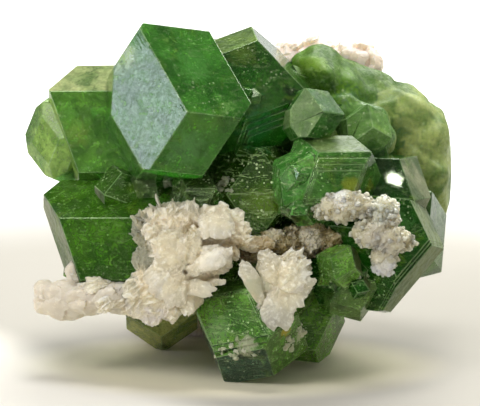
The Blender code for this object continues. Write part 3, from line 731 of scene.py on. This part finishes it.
# Petals: root, tip and facing, then the width, how far the middle rises as a share of the
# width, how many ribs, and how scalloped the rim is.
WHITE_PETALS = (
    ((-1.64, -7.28, 12.68), (-1.56, -8.84, 10.65), (0.0, -0.9, 0.5), 2.5, 0.20, 5, 0.6),
    ((-3.61, -8.49, 8.41), (-0.68, -9.27, 10.05), (-0.1, -0.8, 0.6), 1.5, 0.22, 4, 0.6),
    ((-3.68, -7.91, 8.77), (-0.48, -8.52, 9.25), (0.0, -1.0, -0.2), 2.3, 0.05, 22, 0.3),
    ((-3.27, -8.06, 10.48), (-5.85, -8.92, 10.25), (-0.1, -0.9, 0.3), 2.0, 0.10, 6, 0.8),
    ((-3.40, -8.35, 9.56), (-5.78, -9.20, 9.41), (0.0, -0.9, 0.4), 1.6, 0.12, 5, 0.8),
    ((-3.68, -8.46, 9.03), (-6.05, -9.25, 8.72), (0.0, -1.0, 0.3), 1.6, 0.10, 5, 0.7),
    ((-3.95, -8.48, 8.48), (-6.25, -9.75, 7.30), (0.0, -0.9, 0.4), 2.7, 0.14, 5, 0.7),
    ((-3.82, -8.34, 8.17), (-5.17, -9.76, 6.33), (0.1, -0.9, 0.3), 2.2, 0.14, 6, 0.7),
    ((-3.95, -8.29, 7.46), (-1.84, -9.38, 7.15), (0.0, -1.0, 0.3), 1.3, 0.12, 3, 0.8),
    ((-3.62, -8.07, 7.06), (-3.61, -9.33, 5.46), (0.0, -1.0, 0.1), 1.1, 0.14, 3, 0.9),
    ((-2.66, -8.00, 7.39), (-0.95, -8.65, 7.68), (0.0, -1.0, 0.0), 0.6, 0.05, 6, 0.3),
    ((-4.09, -7.55, 9.95), (-4.70, -7.53, 12.94), (-0.1, -0.9, 0.4), 2.0, 0.06, 14, 0.3),
    ((-3.61, -7.75, 9.99), (-3.41, -7.49, 13.14), (0.0, -0.9, 0.4), 1.6, 0.08, 12, 0.3),
    ((-4.57, -7.57, 10.37), (-5.59, -7.41, 12.57), (-0.1, -0.9, 0.4), 1.2, 0.05, 10, 0.2),
    ((-3.40, -8.56, 9.05), (-3.06, -8.43, 11.60), (0.0, -0.9, 0.4), 1.2, 0.12, 8, 0.5),
    ((-4.36, -7.90, 9.75), (-6.61, -7.86, 11.41), (-0.2, -0.9, 0.4), 1.3, 0.04, 12, 0.2),
    ((-5.05, -7.44, 9.99), (-7.16, -7.30, 11.64), (-0.2, -0.9, 0.4), 0.7, 0.04, 8, 0.1),
    ((-5.46, -7.37, 10.33), (-6.21, -7.13, 12.44), (-0.2, -0.9, 0.4), 0.5, 0.04, 6, 0.1),
    ((-6.00, -7.32, 10.59), (-7.44, -7.13, 11.95), (-0.2, -0.9, 0.4), 0.4, 0.04, 4, 0.1),
    ((-6.42, -7.19, 10.71), (-6.89, -6.92, 12.46), (-0.2, -0.9, 0.3), 0.3, 0.04, 4, 0.1),
    ((-1.16, -7.47, 11.32), (-1.16, -7.34, 12.90), (0.1, -0.9, 0.4), 1.1, 0.04, 10, 0.3),
    ((-0.82, -7.51, 11.12), (0.07, -7.32, 12.48), (0.2, -0.9, 0.4), 1.1, 0.04, 10, 0.3),
    ((-0.68, -7.59, 10.72), (0.75, -7.56, 11.35), (0.3, -0.9, 0.3), 1.0, 0.04, 9, 0.3),
    ((-0.68, -7.68, 10.32), (0.75, -7.85, 10.50), (0.2, -1.0, 0.2), 0.9, 0.05, 8, 0.4),
    ((-1.02, -7.64, 10.04), (-0.07, -8.13, 9.17), (0.2, -1.0, 0.1), 0.9, 0.05, 9, 0.3),
    ((-2.18, -7.31, 11.57), (-2.32, -7.38, 12.70), (0.0, -0.9, 0.4), 0.8, 0.05, 7, 0.3),
    ((-5.32, -7.37, 9.84), (-7.23, -7.33, 10.53), (-0.3, -0.9, 0.2), 1.0, 0.03, 12, 0.2),
    ((-5.19, -7.53, 9.10), (-6.89, -7.54, 9.53), (-0.3, -0.9, 0.2), 1.1, 0.03, 12, 0.2),
    ((-5.19, -7.70, 8.30), (-6.75, -7.74, 8.59), (-0.3, -0.9, 0.2), 1.1, 0.03, 12, 0.2),
    ((-5.05, -7.90, 7.37), (-7.10, -7.87, 7.99), (-0.2, -0.9, 0.3), 1.3, 0.03, 12, 0.2),
    ((-5.33, -7.82, 6.79), (-8.12, -8.05, 7.12), (-0.1, -0.9, 0.4), 1.6, 0.05, 14, 0.3),
    ((-5.05, -7.93, 6.25), (-7.78, -8.25, 5.70), (-0.1, -1.0, 0.2), 1.6, 0.05, 14, 0.3),
    ((-4.78, -7.93, 6.25), (-6.55, -8.37, 4.67), (0.0, -1.0, 0.1), 1.3, 0.05, 12, 0.3),
    ((-4.23, -7.90, 6.39), (-4.91, -8.44, 4.83), (0.0, -1.0, 0.0), 1.2, 0.05, 12, 0.3),
    ((-7.80, -7.11, 6.77), (-9.71, -7.67, 5.56), (-0.1, -1.0, 0.2), 1.3, 0.08, 8, 0.5),
    ((-8.35, -6.84, 6.57), (-10.67, -6.98, 7.37), (-0.1, -0.9, 0.4), 1.3, 0.08, 8, 0.5),
    ((-11.13, -5.31, 6.57), (-11.62, -4.76, 8.20), (0.0, -1.0, 0.3), 0.9, 0.08, 5, 0.5),
    ((-4.08, -8.66, 9.08), (-3.67, -8.81, 10.78), (0.1, -0.9, 0.4), 1.0, 0.12, 6, 0.6),
    ((-4.63, -8.56, 9.05), (-5.44, -8.68, 10.89), (0.0, -0.9, 0.4), 1.0, 0.10, 6, 0.6),
)
FAN_PETALS = (
    ((1.57, -8.57, 6.12), (0.14, -9.06, 9.10), (-0.2, -0.9, 0.3), 1.2, 0.16, 4, 0.5),
    ((2.46, -8.42, 6.37), (2.04, -8.58, 9.48), (-0.1, -0.9, 0.4), 2.0, 0.12, 8, 0.4),
    ((2.52, -8.57, 7.10), (4.76, -9.28, 8.59), (0.1, -0.9, 0.3), 2.9, 0.10, 8, 1.0),
    ((2.72, -8.64, 7.26), (2.45, -10.26, 4.42), (0.0, -1.0, 0.1), 2.3, 0.12, 16, 0.6),
    ((3.00, -8.11, 7.83), (4.02, -8.10, 9.79), (0.1, -0.9, 0.5), 1.8, 0.08, 9, 0.8),
    ((1.77, -7.83, 8.19), (1.84, -7.69, 9.77), (0.0, -0.9, 0.5), 1.3, 0.05, 10, 0.3),
    ((1.91, -8.28, 6.05), (0.89, -8.94, 5.37), (-0.1, -1.0, 0.2), 0.8, 0.06, 6, 0.4),
    ((2.79, -8.60, 6.97), (4.01, -9.62, 6.01), (0.2, -1.0, 0.1), 1.6, 0.08, 10, 0.8),
    ((2.93, -8.96, 7.19), (3.80, -9.34, 9.23), (0.1, -0.9, 0.5), 1.3, 0.14, 6, 0.8),
    ((2.86, -9.00, 7.48), (4.48, -9.78, 7.66), (0.2, -0.9, 0.3), 1.2, 0.12, 6, 0.8),
    ((2.59, -8.87, 7.59), (1.77, -9.14, 8.76), (-0.1, -0.9, 0.4), 1.0, 0.12, 5, 0.5),
)
# Where the fibres spread from, in the frame's own millimetres.
WHITE_MIDDLE = (-3.7, -7.0, 8.9)
FAN_MIDDLE = (2.7, -8.5, 7.2)
# Rims with blades: middle, reach, arc in degrees, number of blades and seed.
RIMS = (
    ((-4.3, -6.8, 9.9), 3.5, (115, 185), 26, 3), ((-4.3, -6.9, 9.9), 3.2, (60, 115), 12, 6),
    ((-5.0, -6.8, 8.2), 2.5, (170, 230), 10, 5),
)
# Where crumbs of the cream mineral lie on the crystals: middle, how far they spread, how
# many and the largest, in millimetres.
CRUMBS = (
    ((-0.3, -8.5, 2.8), 0.6, 8, 0.22), ((0.8, -9.0, 3.4), 0.6, 9, 0.26),
    ((-1.3, -8.0, 2.6), 0.6, 6, 0.16), ((3.4, -7.2, 3.1), 0.7, 9, 0.28),
    ((1.5, -9.2, 4.0), 0.5, 5, 0.20),
    ((4.2, -6.3, 3.8), 0.5, 8, 0.24), ((-5.0, -3.1, 13.5), 0.4, 6, 0.36),
    ((-0.8, -5.0, 13.7), 0.6, 8, 0.32), ((7.6, -5.6, 7.6), 0.9, 10, 0.24),
    ((5.6, -5.0, 10.2), 0.6, 8, 0.3),
)
# Tinted parts of the minerals: middle, reach and colour.
WHITE_ZONES = (
    ((-7.2, -6.6, 9.2), 2.4, (0.19, 0.20, 0.13)), ((-6.9, -6.6, 11.4), 1.6, (0.24, 0.24, 0.16)),
    ((-6.0, -7.4, 4.4), 1.6, (0.56, 0.50, 0.44)), ((-3.3, -8.0, 11.3), 0.7, (0.34, 0.26, 0.12)),
    ((-1.2, -8.0, 8.4), 1.3, (0.52, 0.44, 0.30)), ((-0.4, -8.0, 10.0), 0.8, (0.48, 0.38, 0.22)),
    ((1.6, -7.0, 9.8), 1.6, (0.36, 0.27, 0.13)), ((-5.1, -8.0, 4.6), 0.6, (0.30, 0.25, 0.16)),
    ((-2.8, -8.4, 6.2), 1.0, (0.70, 0.60, 0.44)), ((-1.9, -9.1, 9.6), 1.3, (0.92, 0.81, 0.60)),
)
FAN_ZONES = (
    ((0.9, -8.2, 7.6), 1.1, (0.42, 0.41, 0.28)), ((2.2, -8.4, 5.4), 0.9, (0.52, 0.48, 0.34)),
    ((3.6, -8.4, 8.0), 0.8, (0.80, 0.66, 0.40)),
)
GREY_ZONES = (
    ((9.7, -8.3, 10.5), 1.4, (0.46, 0.42, 0.32)), ((9.7, -8.8, 8.4), 0.9, (0.66, 0.64, 0.58)),
    ((6.8, -7.9, 12.9), 1.0, (0.76, 0.73, 0.62)), ((9.8, -7.9, 12.9), 1.2, (0.50, 0.50, 0.38)),
)
TAN_ZONES = (
    ((4.8, -5.9, 10.4), 1.0, (0.66, 0.60, 0.44)), ((3.4, -6.1, 9.4), 0.9, (0.50, 0.42, 0.26)),
    # The first part on this line, near-black brown, is painted shade in a hollow.
    ((0.8, -6.1, 9.6), 1.0, (0.10, 0.06, 0.015)), ((2.2, -5.9, 10.3), 0.8, (0.62, 0.56, 0.40)),
)
ROCK_ZONES = (
    ((0.5, 10.0, 2.5), 4.0, (0.46, 0.37, 0.27)), ((3.5, 10.5, 9.0), 2.6, (0.52, 0.44, 0.34)),
    ((-3.5, 10.0, 8.5), 2.4, (0.50, 0.43, 0.32)), ((4.5, 10.5, 14.5), 2.2, (0.48, 0.42, 0.30)),
)
# Minerals: three tones from deep to light, how far light travels in them in millimetres, how
# rough they are, and the middle, reach and colour of each tinted part.
MINERALS = {
    "cream_mineral": (((0.50, 0.43, 0.29), (0.70, 0.61, 0.42), (0.90, 0.83, 0.66)),
                      1.5, 0.45, WHITE_ZONES),
    "cream_tongue": (((0.56, 0.50, 0.39), (0.62, 0.56, 0.44), (0.72, 0.66, 0.53)),
                     1.0, 0.45, ()),
    "cream_crumbs": (((0.30, 0.34, 0.20), (0.45, 0.44, 0.30), (0.62, 0.56, 0.42)),
                     1.0, 0.45, ()),
    "petal_mineral": (((0.50, 0.43, 0.29), (0.67, 0.59, 0.40), (0.90, 0.84, 0.66)),
                      1.5, 0.45, FAN_ZONES),
    "tan_mineral": (((0.07, 0.05, 0.012), (0.28, 0.22, 0.09), (0.62, 0.55, 0.36)),
                    0.5, 0.45, TAN_ZONES),
    "grey_mineral": (((0.36, 0.33, 0.20), (0.47, 0.43, 0.29), (0.60, 0.56, 0.43)),
                     2.2, 0.2, GREY_ZONES),
    "matrix_rock": (((0.58, 0.49, 0.39), (0.70, 0.61, 0.51), (0.80, 0.73, 0.64)),
                    1.6, 0.45, ROCK_ZONES),
}
FIBROUS = ("cream_mineral", "petal_mineral")
BLADE_LENGTH = 1.3  # of the thin blades round a rim, in millimetres
CRUMB_SEED = 7
FULL_TURN = 6.283  # radians
# Inputs of the group that scatters crystals: name, kind and default.
SCATTER_INPUTS = (
    ("Density", "Float", 1.0), ("Smallest", "Float", 1.0), ("Largest", "Float", 1.0),
    ("Lean", "Float", 0.5), ("Seed", "Int", 0),
)


def mineral_material(name, tones, travel, rough, zones):
    """A translucent mineral, from its row in MINERALS."""
    material, tree = new_material(name, tones[1])
    where = tree.place()
    patch = tree.noise(where, 0.6, 4.0, 0.6, 0.5)
    fine = tree.noise(where, 3.0, 4.0, 0.65)
    colour = tree.mix(tree.step(patch, 0.36, 0.62), tones[0], tones[1])
    colour = tree.mix(tree.step(fine, 0.5, 0.72) * 0.8, colour, tones[2])
    colour = tree.mix(tree.step(tree.attribute("tone"), 0.5, 1.0) * 0.5, colour, tones[2])
    depth = 0.05
    if name in FIBROUS:
        depth = 0.03
        fibre = tree.attribute("strand")
        colour = tree.mix(tree.step(fibre, -0.05, -0.45) * 0.4, colour, tones[0])
        colour = tree.mix(tree.step(fibre, 0.1, 0.5) * 0.6, colour, tones[2])
    colour = tree.zoned(where, colour, zones, patch, 0.8)
    skin = tree.node("ShaderNodeBsdfPrincipled", {}, {
        "Base Color": colour, "Roughness": rough, "Normal": tree.bump(fine, depth, 0.6),
        "IOR": 1.5, "Subsurface Weight": 0.6, "Subsurface Radius": (1.0, 0.85, 0.6),
        "Subsurface Scale": travel * MM})
    tree.node("ShaderNodeOutputMaterial", {}, {"Surface": skin}, out=None)
    return material


def rim_blades(middle, reach, arc, count, seed):
    """Rows for petal_mesh: thin blades that stand out round a rim, seen from the front."""
    chance = np.random.default_rng(seed)
    rows = []
    for _ in range(count):
        angle = math.radians(chance.uniform(*arc))
        out = Vector((math.cos(angle), 0, math.sin(angle)))
        inner = chance.uniform(0.72, 1.0) * reach - BLADE_LENGTH
        root = Vector(middle) + out * inner + Vector(chance.uniform(-0.4, 0.4, 3))
        lean = (out + Vector(chance.uniform(-0.35, 0.35, 3))).normalized()
        facing = (chance.uniform(-0.4, 0.4), -1.0, 0.2)
        width = chance.uniform(0.12, 0.3)
        rows.append((root, root + lean * BLADE_LENGTH, facing, width, 0.05, 3, 0.3))
    return rows


def crumb_lumps(carrier):
    """Lumps for lumps_joined: small bits strewn on the carrier's surface."""
    tree = BVHTree.FromPolygons([vert.co for vert in carrier.data.vertices],
                                [face.vertices for face in carrier.data.polygons])
    chance = np.random.default_rng(CRUMB_SEED)
    lumps = []
    for middle, spread, count, largest in CRUMBS:
        for _ in range(count):
            aim = Vector(middle) + SHIFT + Vector(chance.normal(0, spread / 2, 3))
            place, *_ = tree.find_nearest(aim * MM)
            half = largest * Vector(chance.uniform(0.35, 1.0, 3))
            lumps.append((place / MM - SHIFT, half))
    return lumps


def grain_shape(name, stretch, seed):
    """A crystal about one metre in size, with uneven flat faces, to be scattered smaller."""
    bm = bmesh.new()
    bmesh.ops.create_icosphere(bm, subdivisions=1, radius=0.55)
    for vert in bm.verts:
        vert.co *= 1 + 0.9 * noise.noise(vert.co * 1.3 + Vector((seed, 0, 0)))
        vert.co = Vector([a * b for a, b in zip(vert.co, stretch)])
        vert.co.z += 0.3 * stretch[2]
    return add_object(name, bm)


def scatter_group(grain, skin):
    """Geometry Nodes: crystals of one shape stood on a skin, with the skin kept. Each has a
    tone of its own, from 0 to 1."""
    group = bpy.data.node_groups.new("scatter", "GeometryNodeTree")
    face = group.interface
    face.new_socket("Geometry", in_out="INPUT", socket_type="NodeSocketGeometry")
    for label, kind, value in SCATTER_INPUTS:
        made = face.new_socket(label, in_out="INPUT", socket_type="NodeSocket" + kind)
        made.default_value = value
    face.new_socket("Geometry", in_out="OUTPUT", socket_type="NodeSocketGeometry")
    tree = Tree(group)
    ground, density, smallest, largest, lean, seed = tree.node(
        "NodeGroupInput", out=("Geometry", *(label for label, *_ in SCATTER_INPUTS)))

    def chance(low, high):
        """A random number for every crystal."""
        return tree.node("FunctionNodeRandomValue", {"data_type": "FLOAT"}, {
            2: low, 3: high, "Seed": seed}, out=1)

    spots, normal = tree.node("GeometryNodeDistributePointsOnFaces", {}, {
        "Mesh": ground, "Density": density, "Seed": seed}, out=("Points", "Normal"))
    any_way = tree.node("FunctionNodeRandomValue", {"data_type": "FLOAT_VECTOR"}, {
        0: (-1, -1, -1), 1: (1, 1, 1), "Seed": seed})
    leaning = tree.node("ShaderNodeVectorMath", {"operation": "SCALE"}, {
        0: any_way, "Scale": lean})
    aim = tree.node("ShaderNodeVectorMath", {"operation": "ADD"}, {0: normal, 1: leaning})
    turn = tree.node("FunctionNodeAlignRotationToVector", {"axis": "Z"}, {"Vector": aim})
    spin = tree.node("FunctionNodeAxisAngleToRotation", {}, {
        "Angle": chance(0.0, FULL_TURN), "Axis": (0, 0, 1)})
    turned = tree.node("FunctionNodeRotateRotation", {"rotation_space": "LOCAL"}, {
        "Rotation": turn, "Rotate By": spin})
    shape = tree.node("GeometryNodeObjectInfo", {}, {
        "Object": grain, "As Instance": True}, out="Geometry")
    stood = tree.node("GeometryNodeInstanceOnPoints", {}, {
        "Points": spots, "Instance": shape, "Rotation": turned,
        "Scale": chance(smallest, largest)})
    toned = tree.node("GeometryNodeStoreNamedAttribute", {
        "data_type": "FLOAT", "domain": "INSTANCE"}, {
        "Geometry": stood, "Value": chance(0.0, 1.0), "Name": "tone"})
    real = tree.node("GeometryNodeRealizeInstances", {}, {"Geometry": toned})
    both = tree.node("GeometryNodeJoinGeometry", {}, {"Geometry": [real, ground]})
    skinned = tree.node("GeometryNodeSetMaterial", {}, {"Geometry": both, "Material": skin})
    tree.node("NodeGroupOutput", {}, {"Geometry": skinned}, out=None)
    return group


def scatter(obj, grain, skin, **values):
    """Stands crystals on an object's surface. Density: how many on a square metre. Smallest
    and Largest: their sizes in metres."""
    modifier = obj.modifiers.new("scatter", "NODES")
    modifier.node_group = scatter_group(grain, skin)
    for item in modifier.node_group.interface.items_tree:
        if item.in_out == "INPUT" and item.name in values:
            modifier[item.identifier] = values[item.name]
    return baked(obj)


def make_minerals(garnets):
    """The pale minerals round the garnets, and the rock behind them."""
    skins = {name: mineral_material(name, *row) for name, row in MINERALS.items()}

    mass = lumps_joined("white_mass", WHITE_LUMPS, 0.085, smooth=2, petals=WHITE_PETALS)
    roughen(mass.data, ((0.8, 0.06), (0.3, 0.02)), seed=0.0,
            fibres=(WHITE_MIDDLE, 1.8, 3.8, 0.12))
    blades = [row for rim in RIMS for row in rim_blades(*rim)]
    fringe = mesh_object("white_blades", petal_mesh("white_blades", blades, 0.1, 5, 5))
    tongue = lumps_joined("white_tongue", TONGUE_LUMPS, 0.12, smooth=3)
    roughen(tongue.data, ((1.3, 0.24), (0.5, 0.03)), seed=2.0)
    fan = lumps_joined("fan", FAN_LUMPS, 0.075, smooth=1, petals=FAN_PETALS)
    roughen(fan.data, ((0.6, 0.05), (0.25, 0.03)), seed=5.0,
            fibres=(FAN_MIDDLE, 3.0, 4.5, 0.07))
    crumbs = lumps_joined("cream_crumbs", crumb_lumps(garnets), 0.06, smooth=1)
    roughen(crumbs.data, ((0.35, 0.22), (0.15, 0.06)), seed=21.0)

    grain = grain_shape("grain", (0.9, 0.8, 0.9), 4.0)
    druse = lumps_joined("druse", GREY_LUMPS, 0.1)
    roughen(druse.data, ((0.7, 0.35), (0.3, 0.15)), seed=9.0)
    scatter(druse, grain, skins["grey_mineral"], Density=3.0e6, Smallest=0.12 * MM,
            Largest=0.46 * MM, Lean=0.9, Seed=3)
    crust = lumps_joined("crust", TAN_LUMPS, 0.1)
    roughen(crust.data, ((0.7, 0.4), (0.3, 0.2)), seed=13.0)
    scatter(crust, grain, skins["tan_mineral"], Density=5.0e6, Smallest=0.10 * MM,
            Largest=0.30 * MM, Lean=0.9, Seed=5)
    bpy.data.objects.remove(grain)
    rock = lumps_joined("rock", ROCK_LUMPS, 0.2)
    roughen(rock.data, ((2.4, 0.5), (0.9, 0.22)), seed=17.0)

    for piece, material, slot, node in (
            (mass, "cream_mineral", "cream_mineral", "white_mineral"),
            (fringe, "cream_mineral", "cream_mineral", "white_mineral"),
            (tongue, "cream_tongue", "cream_mineral", "white_mineral"),
            (fan, "petal_mineral", "petal_mineral", "petal_fan"),
            (crumbs, "cream_crumbs", "cream_mineral", None),
            (druse, "grey_mineral", "grey_mineral", "grey_druse"),
            (crust, "tan_mineral", "tan_mineral", "tan_crust"),
            (rock, "matrix_rock", "matrix_rock", "back_matrix")):
        keep_inside(piece.data)
        dress(piece, skins[material], slot, node)


# ---------------------------------------------------------------- stage, light and camera

# The paper, with light and shade painted on it: painted shade near the specimen, painted light
# past it at the left front, a painted pool of warm light under it, and plain paper far off. Then
# its fibres, and the painted glow it gives still further off.
PAPER_PAINTED_SHADE = (0.40, 0.38, 0.33)
PAPER_PAINTED_LIGHT = (0.78, 0.745, 0.665)
PAPER_PAINTED_POOL = (0.97, 0.90, 0.66)
PAPER_FAR = (0.85, 0.85, 0.83)
PAPER_FIBRES = (0.6, 0.58, 0.5)
PAPER_PAINTED_GLOW = (1, 1, 0.98)
PAINTED_GLOW_STRENGTH = 0.62
FLOOR_SIZE = 3000 * MM
# The surround, at the horizon and above it.
HORIZON = (0.95, 0.95, 0.93)
SKY = (0.36, 0.36, 0.36)
HAZE = 0.1  # height, of 1 straight up, over which the first turns to the second
WHITE = (1, 1, 1)
# Each light: where it is and where it looks, its sides, its watts, its colour and how far it
# is spun about its aim, in millimetres and degrees.
LIGHTS = {
    "overhead": ((60, 120, 155), (0, 10, 6), (160, 120), 0.62, WHITE, 0),
    "zenith": ((10, -10, 240), (0, 0, 8), (100, 90), 0.3, WHITE, 0),
    "left_box": ((-176, -95, 84), (-6, -6, 21), (44, 24), 0.046, (0.66, 0.64, 1.0), 0),
    "left_high": ((-120, -130, 140), (0, 0, 15), (80, 60), 0.20, WHITE, 0),
    "glint": ((3.4, -145.5, 279.2), (10.5, -6, 13.8), (1.8, 1.2), 0.00065, WHITE, -20),
}
# The camera's lens and sensor in millimetres, how far off and how high up in degrees it
# stands, and the height that it looks at.
LENS = 432
SENSOR = 36
CAMERA_AWAY = 400
CAMERA_RISE = 12
LOOKS_AT = 11.34
NEAREST = 0.01  # metres from the camera at which it starts to see


def area_light(name, place, target, size, power, colour, spin):
    """A rectangular light, from its row in LIGHTS."""
    light = bpy.data.lights.new(name, "AREA")
    light.shape = "RECTANGLE"
    light.size, light.size_y = (side * MM for side in size)
    light.energy = power
    light.color = colour
    obj = bpy.data.objects.new(name, light)
    bpy.context.scene.collection.objects.link(obj)
    obj.location = Vector(place) * MM
    aim = (Vector(target) - Vector(place)).to_track_quat("-Z", "Y")
    obj.rotation_mode = "QUATERNION"
    obj.rotation_quaternion = aim @ Quaternion((0, 0, 1), math.radians(spin))


def floor_material():
    """Pale paper with painted shade near the specimen, painted light toward the left front, a
    painted pool of warm light under it and a painted glow far off.
    """
    material, tree = new_material("floor_paper", (0.85, 0.82, 0.74))
    where = tree.place()
    pool = tree.node("ShaderNodeMapping", {}, {
        0: where, 1: (0.03, 0.2, 0), 3: (0.045, 0.066, 0)})
    far = tree.measure("LENGTH", pool)
    front = tree.measure("DOT_PRODUCT", where, (-1.0, -0.7, 0))
    reach = tree.measure("LENGTH", where)
    # Painted shade near the specimen, turning to painted light toward the left front.
    colour = tree.mix(tree.step(front, 10.0, 17.0), PAPER_PAINTED_SHADE, PAPER_PAINTED_LIGHT)
    # A painted pool of warm light under the specimen.
    colour = tree.mix(tree.step(far, 0.72, 0.40), colour, PAPER_PAINTED_POOL)
    colour = tree.mix(tree.step(reach, 36.0, 70.0), colour, PAPER_FAR)
    fibres = tree.noise(where, 0.2, 5.0, 0.6)
    colour = tree.mix(fibres * 0.06, colour, PAPER_FIBRES)
    # A painted glow on the paper far off, though it is no lamp.
    glow = tree.mix(tree.step(reach, 110.0, 300.0), (0, 0, 0), PAPER_PAINTED_GLOW)
    paper = tree.node("ShaderNodeBsdfPrincipled", {}, {
        "Base Color": colour, "Roughness": 0.9, "Specular IOR Level": 0.1,
        "Emission Color": glow, "Emission Strength": PAINTED_GLOW_STRENGTH})
    tree.node("ShaderNodeOutputMaterial", {}, {"Surface": paper}, out=None)
    return material


def make_floor():
    bm = bmesh.new()
    bmesh.ops.create_grid(bm, x_segments=1, y_segments=1, size=FLOOR_SIZE)
    floor = add_object("floor", bm)
    floor.data.materials.append(floor_material())


def make_light():
    scene = bpy.context.scene
    scene.view_settings.view_transform = "Standard"
    scene.world = bpy.data.worlds.new("studio")
    scene.world.use_nodes = True
    sky = Tree(scene.world.node_tree)
    facing = sky.node("ShaderNodeTexCoord", out="Generated")
    height = sky.node("ShaderNodeSeparateXYZ", {}, {0: facing}, out="Z")
    colour = sky.mix(sky.step(height, 0.0, HAZE), HORIZON, SKY)
    light = sky.node("ShaderNodeBackground", {}, {"Color": colour, "Strength": 1.0})
    sky.node("ShaderNodeOutputWorld", {}, {"Surface": light}, out=None)
    for name, row in LIGHTS.items():
        area_light(name, *row)


def make_camera():
    camera = bpy.data.cameras.new("camera")
    camera.lens = LENS
    camera.sensor_width = SENSOR
    camera.clip_start = NEAREST
    obj = bpy.data.objects.new("camera", camera)
    bpy.context.scene.collection.objects.link(obj)
    rise = math.radians(CAMERA_RISE)
    away = Vector((0, -math.cos(rise), math.sin(rise)))
    target = (Vector((0, 0, LOOKS_AT)) + SHIFT) * MM
    obj.location = target + away * CAMERA_AWAY * MM
    obj.rotation_euler = (-away).to_track_quat("-Z", "Y").to_euler()
    bpy.context.scene.camera = obj


make_minerals(make_garnets())
make_floor()
make_light()
make_camera()
